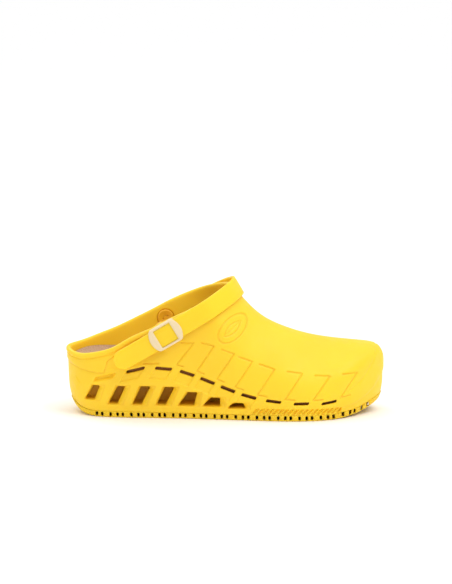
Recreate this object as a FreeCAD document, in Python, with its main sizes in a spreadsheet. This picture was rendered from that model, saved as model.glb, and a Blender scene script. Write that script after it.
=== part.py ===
import FreeCAD, Part

import math
import os

# Rubber work clog, right foot: a moulded shell on an openwork wedge sole, a removable footbed and a
# swivelling heel strap with a slider buckle. Millimetres, +X to the toe, +Y to the inner side of the
# foot, +Z up. The origin is on the ground under the middle of the clog.

V = FreeCAD.Vector
doc = FreeCAD.newDocument("clog")

# ---------------------------------------------------------------- driving dimensions
DIMENSIONS = {
    "clog_length": 275.0,
    "wall_thickness": 4.0,
    "tread_height": 5.2,
    "groove_width": 2.2,
    "groove_depth": 3.8,
    "groove_pitch": 7.0,
    "footbed_base": 3.6,
    "footbed_cover": 1.2,
    "footbed_gap": 0.4,
    "heel_pad_thickness": 2.0,
    "central_web": 30.0,
    "slot_height": 2.6,
    "pivot_x": -53.0,
    "pivot_height": 76.5,
    "pin_radius": 3.0,
    "pin_head_radius": 5.0,
    "running_clearance": 0.05,
    "button_radius": 7.0,
    "button_thickness": 3.0,
    "washer_radius": 5.8,
    "washer_thickness": 1.2,
    "boss_radius": 6.1,
    "boss_face": 40.0,
    "boss_inner_face": 34.6,
    "buckle_x": -49.5,
    "buckle_height": 74.0,
    "strap_tilt": 30.8,
    "strap_reach": 70.5,
    "strap_width": 17.0,
    "strap_thickness": 2.6,
    "strap_tail": 50.5,
    "strap_medial_end": 9.0,
    "buckle_radius": 14.7,
    "buckle_width": 20.2,
    "buckle_base": 2.2,
    "buckle_front": 1.4,
    "channel_clearance": 0.3,
    "window_length": 17.6,
    "window_width": 16.4,
    "sole_window_width": 8.5,
    "pad_length": 60.0,
    "pad_width": 42.0,
    "pin_nose_radius": 2.2,
    "button_floor": 1.0,
    "coin_dish_radius": 2.6,
    "coin_dish_depth": 0.8,
    "seat_gap": 0.4,
    "seat_depth": 1.0,
    "pin_head_thickness": 0.9,
    "medial_head_thickness": 1.75,
    "medial_head_radius": 6.0,
    "end_play": 0.05,
}

sheet = doc.addObject("Spreadsheet::Sheet", "sizes")
for row, (alias, value) in enumerate(DIMENSIONS.items(), start=1):
    sheet.set(f"A{row}", alias)
    sheet.set(f"B{row}", str(value))
    sheet.setAlias(f"B{row}", alias)
doc.recompute()


def size(alias):
    """A driving dimension, read from the sheet."""
    return float(sheet.get(alias))


HALF = size("clog_length") / 2

# ---------------------------------------------------------------- outline of the last
# Distance from the heel as a share of the length, then the half widths to the outer (lateral) and
# inner (medial) side at sole height and at collar height.
STATIONS = [
    (0.009, 12.8, 12.8, 12.8, 12.8),
    (0.030, 22.3, 22.3, 22.3, 22.3),
    (0.067, 30.0, 30.0, 30.0, 30.0),
    (0.122, 34.5, 34.5, 34.0, 34.0),
    (0.209, 37.0, 36.0, 36.5, 37.0),
    (0.315, 38.0, 34.5, 38.5, 37.5),
    (0.427, 41.0, 33.5, 40.5, 37.5),
    (0.536, 45.0, 37.5, 43.0, 39.5),
    (0.645, 49.0, 45.0, 46.0, 43.5),
    (0.747, 50.0, 50.0, 46.5, 47.0),
    (0.835, 44.5, 50.0, 41.5, 47.0),
    (0.907, 32.0, 45.0, 30.0, 43.0),
    (0.962, 15.0, 33.0, 14.5, 32.0),
    (0.988, 4.0, 22.0, 4.0, 21.5),
]
TOE_SIDE = 9.0  # the tip of the toe lies to the inner side of the middle line
SOLE_LEVEL, COLLAR_LEVEL = 15.0, 75.0

# height: how far the heel and the toe stand in from the full length, and the sides' tuck
LEVELS = [
    (-1.0, 8.5, 8.0, 3.2),
    (15.0, 2.8, 2.0, 0.4),
    (32.0, 0.8, 0.2, 0.0),
    (52.0, 0.3, 0.2, 0.0),
    (90.0, 1.0, 1.5, 0.0),
    (128.0, 1.0, 4.0, 0.0),
]

RIDGE = [  # x, height of the roof on its ridge, ridge's side offset, sharpness of the arch
    (-150, 175, 0, 0.02),
    (-90, 165, 0, 0.024),
    (-51, 150, 0, 0.0255),
    (-20, 132, 0, 0.0245),
    (0, 117, 0, 0.0255),
    (12, 103.5, 0, 0.0265),
    (24, 90.3, 0.5, 0.0245),
    (35, 81.8, 1, 0.021),
    (50, 74.5, 2, 0.016),
    (70, 67.9, 4, 0.0135),
    (95, 63.4, 6, 0.0115),
    (118, 60.9, 7.5, 0.01),
    (130, 58.2, 8, 0.01),
    (138, 51, 8.5, 0.01),
    (150, 30, 9, 0.01),
]

RIM = [  # x, height of the collar's edge on the outer and on the inner side
    (-150, 61, 62),
    (-137, 57.5, 58.5),
    (-128, 55, 58.5),
    (-112, 56.5, 63),
    (-96, 61.2, 69),
    (-81, 70, 76),
    (-64, 78, 84.5),
    (-51, 85, 91.5),
    (-30, 95, 101),
    (-12, 104.5, 108),
    (5, 113.5, 113.8),
    (18, 121, 121),
    (60, 140, 140),
    (150, 170, 170),
]

DECK = [  # x, height of the wedge's top, on which the footbed lies
    (-150, 48), (-125, 44), (-104, 41.2), (-80, 40), (-60, 41), (-45, 39.5), (-30, 35.5), (-12, 29),
    (5, 22.5), (23, 17), (45, 13.5), (69, 12), (92, 12.5), (110, 14.5), (125, 18), (150, 27),
]

# x, height of the tread's underside where it leaves the ground; it is flat in between
HEEL_SPRING = [(-150, 24), (-136, 12), (-127, 4), (-119, 0.9), (-110, 0)]
TOE_SPRING = [(92, 0), (104, 1), (116, 3.2), (126, 7), (134, 11), (150, 17)]

STEP_X, STEP_Y = 6.0, 8.0  # spacing of a height surface's poles
SPAN_X, SPAN_Y = 150.0, 80.0
DEEP = 250.0
WIDE = 75.0

known = {}  # values already read from the tables


# ---------------------------------------------------------------- curves and surfaces
def smooth(points, **ends):
    """An open curve through the points."""
    curve = Part.BSplineCurve()
    curve.interpolate(Points=points, **ends)
    return curve


def read(table, x, column=1):
    """A value of a table at x, on the smooth curve through its rows, and level past its ends."""
    key = (id(table), column, round(x, 4))
    if key not in known:
        curve = smooth([V(row[0], 0, row[column]) for row in table])
        low, high = curve.FirstParameter, curve.LastParameter
        for _ in range(30):
            middle = (low + high) / 2
            if curve.value(middle).x < x:
                low = middle
            else:
                high = middle
        known[key] = curve.value((low + high) / 2).z
    return known[key]


def outline(height, heel_in, toe_in, tuck, offset=0.0):
    """The closed plan outline at a height, moved in by offset."""
    share = min(1.0, max(0.0, (height - SOLE_LEVEL) / (COLLAR_LEVEL - SOLE_LEVEL)))

    def place(along, side):
        x = -HALF + along * 2 * HALF
        return V(x + heel_in * (1 - along) - toe_in * along, side, height)

    lateral, medial = [], []
    for along, low_out, low_in, top_out, top_in in STATIONS:
        lateral.append(place(along, -(low_out + share * (top_out - low_out) - tuck)))
        medial.append(place(along, low_in + share * (top_in - low_in) - tuck))
    points = [place(0, 0)] + lateral + [place(1, TOE_SIDE)] + medial[::-1]
    if offset:
        count = len(points)
        moved = []
        for i, point in enumerate(points):
            run = points[(i + 1) % count] - points[i - 1]
            inward = V(-run.y, run.x, 0).normalize()
            moved.append(point + inward * offset)
        points = moved
    curve = Part.BSplineCurve()
    curve.interpolate(Points=points, PeriodicFlag=True)
    return Part.Wire([curve.toShape()])


def feature(name, shape):
    """A Part::Feature that holds a shape made here."""
    made = doc.addObject("Part::Feature", name)
    made.Shape = shape
    return made


def walls(name, offset=0.0):
    """A loft through the outlines at every level."""
    sections = []
    for i, (height, heel_in, toe_in, tuck) in enumerate(LEVELS):
        sections.append(feature(f"{name}_outline_{i}", outline(height, heel_in, toe_in, tuck, offset)))
    loft = doc.addObject("Part::Loft", name)
    loft.Sections = sections
    loft.Solid = True
    return loft


def pole_places(span, step):
    """Where a clamped cubic's poles lie, from -span to span, so that its parameter runs evenly."""
    count = round(2 * span / step)
    inner = [-span + i * step for i in range(count + 1)]
    places = [inner[0], inner[0] + step / 3] + inner[1:-1] + [inner[-1] - step / 3, inner[-1]]
    knots = [-span + i * step for i in range(count + 1)]
    return places, knots, [4] + [1] * (count - 1) + [4]


def under(name, height_at):
    """The solid under a surface whose height is a function of x and y."""
    xs, x_knots, x_mults = pole_places(SPAN_X, STEP_X)
    ys, y_knots, y_mults = pole_places(SPAN_Y, STEP_Y)

    def pole(x, y):
        here = height_at(x, y)
        bend_x = height_at(x - STEP_X, y) - 2 * here + height_at(x + STEP_X, y)
        bend_y = height_at(x, y - STEP_Y) - 2 * here + height_at(x, y + STEP_Y)
        return V(x, y, here - (bend_x + bend_y) / 6)

    surface = Part.BSplineSurface()
    poles = [[pole(x, y) for y in ys] for x in xs]
    surface.buildFromPolesMultsKnots(poles, x_mults, y_mults, x_knots, y_knots, False, False, 3, 3)
    return feature(name, surface.toShape().extrude(V(0, 0, -DEEP)))


def profile(table, lift=0.0):
    """A table as side-view curves, raised by lift."""
    return [smooth([V(x, -WIDE, z + lift) for x, z in table])]


def ground_profile(lift=0.0):
    """The tread's underside as side-view curves: heel spring, flat and toe spring, raised by lift."""
    heel = [V(x, -WIDE, z + lift) for x, z in HEEL_SPRING]
    toe = [V(x, -WIDE, z + lift) for x, z in TOE_SPRING]
    level = V(1, 0, 0)
    rise = toe[-1] - toe[-2]
    fall = heel[1] - heel[0]
    return [
        smooth(heel, InitialTangent=fall.normalize(), FinalTangent=level),
        Part.LineSegment(heel[-1], toe[0]),
        smooth(toe, InitialTangent=level, FinalTangent=rise.normalize()),
    ]


def slab(name, top, bottom):
    """The solid between two side-view profiles, right across the clog."""
    sides = [
        Part.LineSegment(bottom[-1].EndPoint, top[-1].EndPoint),
        Part.LineSegment(top[0].StartPoint, bottom[0].StartPoint),
    ]
    wire = Part.Wire(Part.__sortEdges__([c.toShape() for c in (*top, *bottom, *sides)]))
    return feature(name, Part.Face(wire).extrude(V(0, 2 * WIDE, 0)))


def common(name, *parts):
    made = doc.addObject("Part::MultiCommon", name)
    made.Shapes = list(parts)
    made.Refine = False
    return made


def fuse(name, *parts):
    made = doc.addObject("Part::MultiFuse", name)
    made.Shapes = list(parts)
    made.Refine = False
    return made


def cut(name, base, tool):
    made = doc.addObject("Part::Cut", name)
    made.Base = base
    made.Tool = tool
    made.Refine = False
    return made


def across(name, radius, start, end):
    """A cylinder along Y round the pivot's axis, from start to end. Sizes are expressions of the sheet."""
    made = doc.addObject("Part::Cylinder", name)
    made.setExpression("Radius", radius)
    made.setExpression("Height", f"({end}) - ({start})")
    made.Placement = FreeCAD.Placement(V(0, 0, 0), FreeCAD.Rotation(V(1, 0, 0), -90))
    made.setExpression("Placement.Base.x", "sizes.pivot_x")
    made.setExpression("Placement.Base.y", start)
    made.setExpression("Placement.Base.z", "sizes.pivot_height")
    return made


# ---------------------------------------------------------------- shared solids
WALL = size("wall_thickness")


def roof_height(x, y, drop=0.0):
    """Height of the arched roof. drop is a wall thickness, measured square to the ridge."""
    top, side, sharp = (read(RIDGE, x, column) for column in (1, 2, 3))
    slope = (read(RIDGE, x + 1) - read(RIDGE, x - 1)) / 2
    return top - sharp * (y - side) ** 2 - drop * math.hypot(1, slope)


def rim_height(x, y):
    """Height of the collar's edge, which is higher on the inner side."""
    outer, inner = read(RIM, x, 1), read(RIM, x, 2)
    share = min(1.0, max(0.0, (y + 40) / 80))
    return outer + (inner - outer) * share * share * (3 - 2 * share)


outer_walls = walls("outer_walls")
inner_walls = walls("inner_walls", WALL)
outer_roof = under("outer_roof", roof_height)
inner_roof = under("inner_roof", lambda x, y: roof_height(x, y, WALL))
below_rim = under("below_rim", rim_height)
TREAD = size("tread_height")

# ---------------------------------------------------------------- upper shell
TOP_SPACE = [(-150, 200), (0, 200), (150, 200)]
above_deck = slab("above_deck", profile(TOP_SPACE), profile(DECK))
shell_block = common("shell_block", outer_walls, outer_roof, below_rim, above_deck)
bosses = fuse(
    "strap_bosses",
    across("lateral_boss", "sizes.boss_radius", "-sizes.boss_face", "-sizes.boss_inner_face"),
    across("medial_boss", "sizes.boss_radius", "sizes.boss_inner_face", "sizes.boss_face"),
)
cavity = common("cavity", inner_walls, inner_roof, slab("cavity_deck", profile(TOP_SPACE), profile(DECK, -5)))
hollow_shell = cut("hollow_shell", shell_block, cavity)
shell_with_bosses = fuse("shell_with_bosses", hollow_shell, bosses)
pin_holes = across("pin_holes", "sizes.pin_radius", "-60", "60")
button_seats = across(
    "button_seats", "sizes.button_radius + sizes.seat_gap", "-sizes.boss_inner_face", "sizes.boss_inner_face"
)

FIRST_SLOT, SLOT_COUNT = -76.0, 9
LEAST_PITCH, HEEL_PITCH, TOE_PITCH = 17.4, 6.8, 6.2  # the slots crowd together at the waist
LEAST_LENGTH, HEEL_LENGTH = 12.6, 3.2
SLOT_LIFT, HEEL_DROP = 2.3, 1.9  # over the deck, and how much less at the heel
HEEL_TURN, TOE_TURN = 12.0, 5.0  # degrees that the end slots turn past the deck's own slope


def ease(x, start, end):
    """Goes softly from 0 to 1 between start and end, and is level outside them."""
    share = min(max((x - start) / (end - start), 0.0), 1.0)
    return share * share * (3 - 2 * share)


def near_heel(x):
    """1 at the heel, 0 from the waist on."""
    return 1 - ease(x, -80, -30)


def slot_row():
    """x of the middle, height above the deck, length and slope of each slot."""
    rows, x = [], FIRST_SLOT
    for _ in range(SLOT_COUNT):
        heel = near_heel(x)
        slope = math.degrees(math.atan2(read(DECK, x + 8) - read(DECK, x - 8), 16))
        slope += HEEL_TURN * heel ** 2 + TOE_TURN * ease(x, 42, 85)
        rows.append((x, SLOT_LIFT - HEEL_DROP * heel, LEAST_LENGTH + HEEL_LENGTH * heel, slope))
        x += LEAST_PITCH + HEEL_PITCH * heel + TOE_PITCH * ease(x, -5, 42)
    return rows


def slot_box(index, x, above, length, slope):
    """A narrow opening right across the clog, just over the deck."""
    height = size("slot_height")
    box = doc.addObject("Part::Box", f"slot_{index}")
    box.Length = length
    box.Width = 2 * SPAN_Y
    box.setExpression("Height", "sizes.slot_height")
    turn = FreeCAD.Rotation(V(0, 1, 0), -slope)
    corner = turn.multVec(V(-length / 2, -SPAN_Y, -height / 2))
    box.Placement = FreeCAD.Placement(V(x, 0, read(DECK, x) + above + height / 2) + corner, turn)
    return box


slots = fuse("slots", *[slot_box(i, *row) for i, row in enumerate(slot_row(), start=1)])
upper_shell = cut("upper_shell", shell_with_bosses, fuse("shell_openings", slots, pin_holes, button_seats))

# ---------------------------------------------------------------- wedge sole with its windows
FIRST_WINDOW, WINDOW_PITCH, WINDOW_COUNT = -112.6, 20.7, 6
WINDOW_LOW, WINDOW_HIGH = 12.4, 26.6


def window_edges(x):
    """Lower and upper edge of the window at x: the row rises at the heel and tapers to the waist."""
    low = WINDOW_LOW + 0.16 * max(0.0, -90 - x)
    return low, WINDOW_HIGH - 0.2 * max(0.0, x + 52)


SLANT = 0.62  # how far a window leans to the toe for each unit of height


def leaning_prism(name, x, low, high, width, start, depth):
    """A block with slanted ends, from y = start and depth deep."""
    lean = SLANT * (high - low) / 2
    corners = [
        V(x - width / 2 - lean, start, low), V(x + width / 2 - lean, start, low),
        V(x + width / 2 + lean, start, high), V(x - width / 2 + lean, start, high),
    ]
    face = Part.Face(Part.makePolygon(corners + corners[:1]))
    return feature(name, face.extrude(V(0, depth, 0)))


web = size("central_web") / 2
pockets = []
for i in range(1, WINDOW_COUNT + 1):
    x = FIRST_WINDOW + WINDOW_PITCH * (i - 1)
    low, high = window_edges(x)
    for side, start in (("lateral", -web), ("medial", web)):
        reach = math.copysign(60, start)
        width = size("sole_window_width")
        pockets.append(leaning_prism(f"{side}_window_{i}", x, low, high, width, start, reach))
deck_block = slab("deck_block", profile(DECK), ground_profile(TREAD))
wedge = common("wedge", outer_walls, deck_block)
cage_sole = cut("cage_sole", wedge, fuse("windows", *pockets))

# ---------------------------------------------------------------- outsole
tread_slab = slab("tread_slab", ground_profile(TREAD), ground_profile())
tread_block = common("tread_block", outer_walls, tread_slab)


def ground_height(x):
    """Height of the tread's underside."""
    if x < HEEL_SPRING[-1][0]:
        return read(HEEL_SPRING, x)
    return read(TOE_SPRING, x) if x > TOE_SPRING[0][0] else 0.0


grooves = []
position = -118.0
while position < 124:
    groove = doc.addObject("Part::Box", f"groove_{len(grooves) + 1}")
    groove.setExpression("Length", "sizes.groove_width")
    groove.Width = 2 * SPAN_Y
    groove.Height = size("groove_depth") + 20
    lift = ground_height(position) + size("groove_depth") - groove.Height.Value
    groove.Placement = FreeCAD.Placement(V(position, -SPAN_Y, lift), FreeCAD.Rotation())
    grooves.append(groove)
    position += size("groove_pitch")
outsole = cut("outsole", tread_block, fuse("tread_grooves", *grooves))

# ---------------------------------------------------------------- footbed
footbed_walls = walls("footbed_walls", WALL + size("footbed_gap"))


DISH_RISE, DISH_REACH = 7.2, 30.0  # the heel's cup rises so much, so far from the middle line
DISH_END, DISH_FADE = -20.0, 22.0  # where the cup runs out, and over what length


def trough_height(x, y, lift):
    """Top of the footbed: a thickness over the deck, dished at the heel and flat under the toes."""
    dish = DISH_RISE / (1 + math.exp((x - DISH_END) / DISH_FADE))
    return read(DECK, x) + lift + dish * (y / DISH_REACH) ** 2


base_lift = size("footbed_base")
cover_lift = base_lift + size("footbed_cover")
base_top = under("base_top", lambda x, y: trough_height(x, y, base_lift))
cover_top = under("cover_top", lambda x, y: trough_height(x, y, cover_lift))
footbed_space = common("footbed_space", footbed_walls, slab("over_deck", profile(TOP_SPACE), profile(DECK)))
footbed_block = common("footbed_block", footbed_space, base_top)
pad_plan = doc.addObject("Part::Ellipse", "pad_plan")
pad_plan.setExpression("MajorRadius", "sizes.pad_length / 2")
pad_plan.setExpression("MinorRadius", "sizes.pad_width / 2")
pad_plan.Placement = FreeCAD.Placement(V(-98, 0, 30), FreeCAD.Rotation())
pad_column = doc.addObject("Part::Extrusion", "pad_column")
pad_column.Base = pad_plan
pad_column.Dir = V(0, 0, 1)
pad_column.LengthFwd = 30
pad_column.Solid = True
pad_layer = slab("pad_layer", profile(DECK, size("heel_pad_thickness")), profile(DECK, -1))
pad_pocket = common("pad_pocket", pad_column, pad_layer)
insole_base = cut("insole_base", footbed_block, pad_pocket)
heel_cushion = common("heel_cushion", pad_column, footbed_space, pad_layer)
insole_cover = cut("insole_cover", common("cover_block", footbed_space, cover_top), base_top)

# ---------------------------------------------------------------- strap
# The strap is drawn in its own frame: +X from the buckle to the instep, +Y to the inner side. Its pins
# sit a little behind and above the middle of the buckle.
THICK = size("strap_thickness")
REACH = size("strap_reach")
FACE = size("boss_face") + size("washer_thickness")  # where the strap and the buckle begin
LATERAL_Y = -(FACE + size("buckle_base") + size("channel_clearance") / 2 + THICK / 2)
MEDIAL_Y = FACE + THICK / 2
STRAP_PATH = [
    (-size("strap_tail"), -43.9),
    (-38, -44.2),
    (-26, -44.7),
    (-15, LATERAL_Y),
    (0, LATERAL_Y),
    (15, LATERAL_Y),
    (22, -44.6),
    (30, -43.9),
    (36.5, -42.8),
    (43, -40.6),
    (0.73 * REACH, -34.4),
    (0.845 * REACH, -26.4),
    (0.935 * REACH, -17.2),
    (REACH, 0),
    (0.935 * REACH, 17.2),
    (0.845 * REACH, 26.4),
    (0.73 * REACH, 34.4),
    (42.5, 40.0),
    (30, 41.9),
    (20, 42.4),
    (10, MEDIAL_Y),
    (0, MEDIAL_Y),
    (-size("strap_medial_end"), MEDIAL_Y),
]


def strap_band():
    """The strap's ribbon seen from above: the path with half the thickness to each side."""
    path = smooth([V(a, b, 0) for a, b in STRAP_PATH])
    steps = 48
    sides = ([], [])
    for i in range(steps + 1):
        at = path.FirstParameter + (path.LastParameter - path.FirstParameter) * i / steps
        along = path.tangent(at)[0]
        normal = V(-along.y, along.x, 0)
        for points, sign in zip(sides, (-1, 1)):
            points.append(path.value(at) + normal * (sign * THICK / 2))
    outer, inner = smooth(sides[0]), smooth(sides[1])
    ends = [
        Part.LineSegment(outer.EndPoint, inner.EndPoint),
        Part.LineSegment(inner.StartPoint, outer.StartPoint),
    ]
    wire = Part.Wire(Part.__sortEdges__([c.toShape() for c in (outer, inner, *ends)]))
    return Part.Face(wire)


tilt = FreeCAD.Rotation(V(0, 1, 0), -size("strap_tilt"))
buckle_place = V(size("buckle_x"), 0, size("buckle_height"))
pin_place = tilt.inverted().multVec(V(size("pivot_x"), 0, size("pivot_height")) - buckle_place)


def tilted(made):
    """Puts a piece of the strap's own frame in its place on the clog."""
    made.Placement = FreeCAD.Placement(buckle_place, tilt)
    made.setExpression("Placement.Base.x", "sizes.buckle_x")
    made.setExpression("Placement.Base.z", "sizes.buckle_height")
    return made


ribbon = doc.addObject("Part::Extrusion", "ribbon")
ribbon.Base = feature("ribbon_face", strap_band())
ribbon.Dir = V(0, 0, 1)
ribbon.setExpression("LengthFwd", "sizes.strap_width / 2")
ribbon.setExpression("LengthRev", "sizes.strap_width / 2")
ribbon.Solid = True


def rounded_end(name, tip, direction):
    """What is left outside a half round end: a block less a cylinder, at one end of the strap."""
    radius = size("strap_width") / 2
    centre = tip + direction * radius
    reach = radius + 4
    corner = V(min(centre, centre - direction * reach), -20, -radius - 2)
    block = Part.makeBox(reach, 40, 2 * radius + 4, corner)
    return feature(name, block.cut(Part.makeCylinder(radius, 60, V(centre, -30, 0), V(0, 1, 0))))


tail_round = rounded_end("tail_round", -size("strap_tail"), 1)
tail_round.Placement = FreeCAD.Placement(V(0, LATERAL_Y, 0), FreeCAD.Rotation())
medial_round = rounded_end("medial_round", -size("strap_medial_end"), 1)
medial_round.Placement = FreeCAD.Placement(V(0, MEDIAL_Y, 0), FreeCAD.Rotation())
eye = doc.addObject("Part::Cylinder", "strap_eye")
eye.setExpression("Radius", "sizes.pin_radius + sizes.running_clearance")
eye.Height = 40
eye.Placement = FreeCAD.Placement(pin_place + V(0, MEDIAL_Y - 20, 0), FreeCAD.Rotation(V(1, 0, 0), -90))
strap = tilted(cut("strap", ribbon, fuse("strap_trims", tail_round, medial_round, eye)))


# ---------------------------------------------------------------- buckle
def disc(name, start, thickness):
    """A round plate of the buckle with straight sides, from y = -start outwards."""
    plate = doc.addObject("Part::Cylinder", f"{name}_disc")
    plate.setExpression("Radius", "sizes.buckle_radius")
    plate.Height = thickness
    plate.Placement = FreeCAD.Placement(V(0, -start, 0), FreeCAD.Rotation(V(1, 0, 0), 90))
    band = doc.addObject("Part::Box", f"{name}_band")
    band.Length = 40
    band.Width = 40
    band.setExpression("Height", "sizes.buckle_width")
    band.Placement = FreeCAD.Placement(V(-20, -start - 20, -size("buckle_width") / 2), FreeCAD.Rotation())
    return common(name, plate, band)


base_end = FACE + size("buckle_base")
channel_end = base_end + THICK + size("channel_clearance")
buckle_depth = channel_end + size("buckle_front") - FACE
channel = doc.addObject("Part::Box", "strap_channel")
channel.Length = 40
channel.Width = channel_end - base_end
channel.setExpression("Height", "sizes.strap_width + 2 * sizes.channel_clearance")
channel.Placement = FreeCAD.Placement(
    V(-20, -channel_end, -size("strap_width") / 2 - size("channel_clearance")), FreeCAD.Rotation()
)
window = doc.addObject("Part::Box", "buckle_window")
window.setExpression("Length", "sizes.window_length")
window.Width = 10
window.setExpression("Height", "sizes.window_width")
window.Placement = FreeCAD.Placement(
    V(-size("window_length") / 2, -channel_end - 9, -size("window_width") / 2), FreeCAD.Rotation()
)
pin_seat = doc.addObject("Part::Cylinder", "pin_seat")
pin_seat.setExpression("Radius", "sizes.pin_head_radius + sizes.seat_gap")
pin_seat.Height = 10
seat_place = pin_place + V(0, -base_end + size("seat_depth"), 0)
pin_seat.Placement = FreeCAD.Placement(seat_place, FreeCAD.Rotation(V(1, 0, 0), 90))
buckle_eye = doc.addObject("Part::Cylinder", "buckle_eye")
buckle_eye.setExpression("Radius", "sizes.pin_radius + sizes.running_clearance")
buckle_eye.Height = 10
buckle_eye.Placement = FreeCAD.Placement(pin_place + V(0, -FACE + 2, 0), FreeCAD.Rotation(V(1, 0, 0), 90))
pin_seat_box = doc.addObject("Part::Box", "pin_seat_limit")
pin_seat_box.Length = 16
pin_seat_box.setExpression("Width", "sizes.seat_depth")
pin_seat_box.Height = 16
pin_seat_box.Placement = FreeCAD.Placement(pin_place + V(-8, -base_end, -8), FreeCAD.Rotation())
seat = common("head_seat", pin_seat, pin_seat_box)
openings = fuse("buckle_openings", channel, window, seat, buckle_eye)
buckle = tilted(cut("buckle", disc("buckle_block", FACE, buckle_depth), openings))

# ---------------------------------------------------------------- pivots
BACK = "sizes.boss_inner_face"
FRONT = "(sizes.boss_face + sizes.washer_thickness)"


def ends(sign, near, far):
    """Start and end along Y of what lies between two distances from the middle, on one side."""
    return (near, far) if sign > 0 else (f"-({far})", f"-({near})")


def washer(side, sign):
    """A low-friction spacer between the wall and what turns on it."""
    near, far = "sizes.boss_face", f"{FRONT} - sizes.end_play"
    ring = across(f"{side}_ring", "sizes.washer_radius", *ends(sign, near, far))
    hole = across(f"{side}_ring_hole", "sizes.pin_radius", "-60", "60")
    return cut(f"{side}_washer", ring, hole)


def button(side, sign):
    """The inner button: a round cap against the wall's inside, with a coin slot."""
    front = f"({BACK} - sizes.button_thickness)"
    cap = across(f"{side}_cap", "sizes.button_radius", *ends(sign, front, BACK))
    dish_floor = f"{front} + sizes.coin_dish_depth"
    recess = across(f"{side}_dish", "sizes.coin_dish_radius", *ends(sign, front, dish_floor))
    bore_floor = f"({front} + sizes.button_floor)"
    bore = across(f"{side}_cap_bore", "sizes.pin_nose_radius", *ends(sign, bore_floor, BACK))
    return cut(f"{side}_button", cap, fuse(f"{side}_cap_cuts", recess, bore))


def pin(side, sign, head_start, head_end, head_radius):
    """The rivet: a head outside, a shank through the wall and a nose in the button's bore."""
    head = across(f"{side}_head", head_radius, *ends(sign, head_start, head_end))
    shank = across(f"{side}_shank", "sizes.pin_radius", *ends(sign, BACK, head_start))
    nose_tip = f"{BACK} - sizes.button_thickness + sizes.button_floor"
    nose = across(f"{side}_nose", "sizes.pin_nose_radius", *ends(sign, nose_tip, BACK))
    return fuse(f"{side}_pin", head, shank, nose)


lateral_washer = washer("lateral", -1)
medial_washer = washer("medial", 1)
lateral_button = button("lateral", -1)
medial_button = button("medial", 1)
seat_floor = f"({FRONT} + sizes.buckle_base - sizes.seat_depth)"
lateral_head = f"({seat_floor} + sizes.end_play)"
lateral_top = f"{lateral_head} + sizes.pin_head_thickness"
lateral_pin = pin("lateral", -1, lateral_head, lateral_top, "sizes.pin_head_radius")
strap_outside = f"({FRONT} + sizes.strap_thickness)"
medial_head = f"({strap_outside} + sizes.end_play)"
medial_top = f"{medial_head} + sizes.medial_head_thickness"
medial_pin = pin("medial", 1, medial_head, medial_top, "sizes.medial_head_radius")

# ---------------------------------------------------------------- write the pieces
PIECES = [
    upper_shell, cage_sole, outsole, insole_base, insole_cover, heel_cushion, strap, buckle,
    lateral_pin, lateral_washer, lateral_button, medial_pin, medial_washer, medial_button,
]
doc.recompute()
for item in doc.Objects:
    if {"Invalid", "Error"} & set(item.State):
        raise RuntimeError(f"{item.Name} failed: {item.State}")
os.makedirs("parts", exist_ok=True)
for piece in PIECES:
    piece.Label = piece.Name
    shape = piece.Shape
    if shape.isNull() or not shape.isValid() or not shape.Solids:
        raise RuntimeError(f"{piece.Name} has no valid solid")
    box = shape.BoundBox
    print(
        f"{piece.Label}: {len(shape.Solids)} solid, {shape.Volume / 1000:.1f} cm3,"
        f" x {box.XMin:.1f}..{box.XMax:.1f} y {box.YMin:.1f}..{box.YMax:.1f} z {box.ZMin:.1f}..{box.ZMax:.1f}"
    )
    shape.exportStep(f"parts/{piece.Label}.step")
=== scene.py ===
import math

import bmesh
import bpy
import numpy as np
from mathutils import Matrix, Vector


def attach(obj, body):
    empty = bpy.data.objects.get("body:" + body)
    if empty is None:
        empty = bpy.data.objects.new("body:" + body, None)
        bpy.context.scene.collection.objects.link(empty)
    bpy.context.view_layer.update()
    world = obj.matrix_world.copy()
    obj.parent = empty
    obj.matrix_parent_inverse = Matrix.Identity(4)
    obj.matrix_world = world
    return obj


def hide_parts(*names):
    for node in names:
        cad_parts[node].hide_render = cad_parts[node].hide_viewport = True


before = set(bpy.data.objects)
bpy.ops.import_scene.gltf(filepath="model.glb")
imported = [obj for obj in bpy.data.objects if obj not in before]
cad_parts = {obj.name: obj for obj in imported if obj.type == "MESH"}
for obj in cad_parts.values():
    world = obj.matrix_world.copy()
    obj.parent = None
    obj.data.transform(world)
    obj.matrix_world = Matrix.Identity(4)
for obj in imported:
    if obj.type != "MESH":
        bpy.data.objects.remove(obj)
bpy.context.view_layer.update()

# Rubber work clog, right foot. Every piece is written as a signed distance in millimetres, negative
# inside, and its skin is drawn round the zero and settled onto it. +X is the toe, +Y the inner side.
MM = 0.001

# ---------------------------------------------------------------- outlines
# These are the CAD model's, but the ridge ends a little higher at the toe.
HALF = 137.5
WALL = 4.0
TREAD = 5.2
STATIONS = [  # share of the length, half widths: outer and inner at the sole, outer and inner at the collar
    (0.009, 12.8, 12.8, 12.8, 12.8),
    (0.030, 22.3, 22.3, 22.3, 22.3),
    (0.067, 30.0, 30.0, 30.0, 30.0),
    (0.122, 34.5, 34.5, 34.0, 34.0),
    (0.209, 37.0, 36.0, 36.5, 37.0),
    (0.315, 38.0, 34.5, 38.5, 37.5),
    (0.427, 41.0, 33.5, 40.5, 37.5),
    (0.536, 45.0, 37.5, 43.0, 39.5),
    (0.645, 49.0, 45.0, 46.0, 43.5),
    (0.747, 50.0, 50.0, 46.5, 47.0),
    (0.835, 44.5, 50.0, 41.5, 47.0),
    (0.907, 32.0, 45.0, 30.0, 43.0),
    (0.962, 15.0, 33.0, 14.5, 32.0),
    (0.988, 4.0, 22.0, 4.0, 21.5),
]
TOE_SIDE = 9.0
SOLE_LEVEL, COLLAR_LEVEL = 15.0, 75.0
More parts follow.
